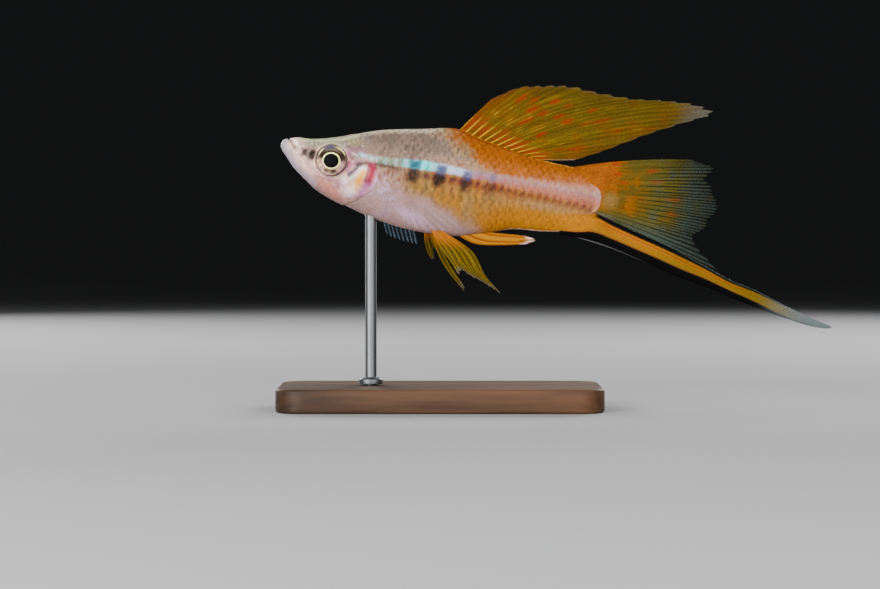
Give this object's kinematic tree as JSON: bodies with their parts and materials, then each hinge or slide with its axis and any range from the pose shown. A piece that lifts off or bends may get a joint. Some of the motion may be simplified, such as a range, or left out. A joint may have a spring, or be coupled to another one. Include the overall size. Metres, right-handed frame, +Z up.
{
  "type": "swordtail fish on a display stand",
  "caption": "Life-size male swordtail fish with a long sword-like lower tail lobe, nose slightly raised, held by a rod on a plain display stand",
  "frame": {"origin": "centre of the stand's underside, on the floor", "axes": "the fish faces -X, its left side faces -Y, and +Z is up; the sword points to +X"},
  "size_m": [0.1163, 0.034, 0.068],
  "materials": {
    "head": "fish skin cast, satin, silvery pink with an olive-grey crown",
    "gill": "fish skin cast, satin, pearly pink with a red patch",
    "flank": "scaled fish skin cast, satin, grey-beige back, turquoise stripe, pale belly",
    "stalk": "scaled fish skin cast, satin, orange with a pink middle band",
    "eye": "clear dome over a dark iris with a pale gold ring",
    "orange_fin": "thin translucent orange fin with pale rays",
    "clear_fin": "thin clear fin, orange at the root, with pale rays",
    "sword": "orange-yellow rays with black margins",
    "pale_fin": "thin colourless fin with fine whitish rays",
    "stand_wood": "dark stained wood, satin",
    "stand_steel": "satin steel rod"
  },
  "bodies": {
    "root": {"head": "head", "lower_jaw": "head", "gill_cover_left": "gill", "gill_cover_right": "gill", "trunk": "flank", "tail_stalk": "stalk", "eye_left": "eye", "eye_right": "eye", "dorsal_fin": "orange_fin", "caudal_fin": "clear_fin", "sword": "sword", "gonopodium": "orange_fin", "pelvic_fin_left": "orange_fin", "pelvic_fin_right": "orange_fin", "pectoral_fin_left": "pale_fin", "pectoral_fin_right": "pale_fin", "stand_base": "stand_wood", "stand_rod": "stand_steel"}
  },
  "joints": []
}
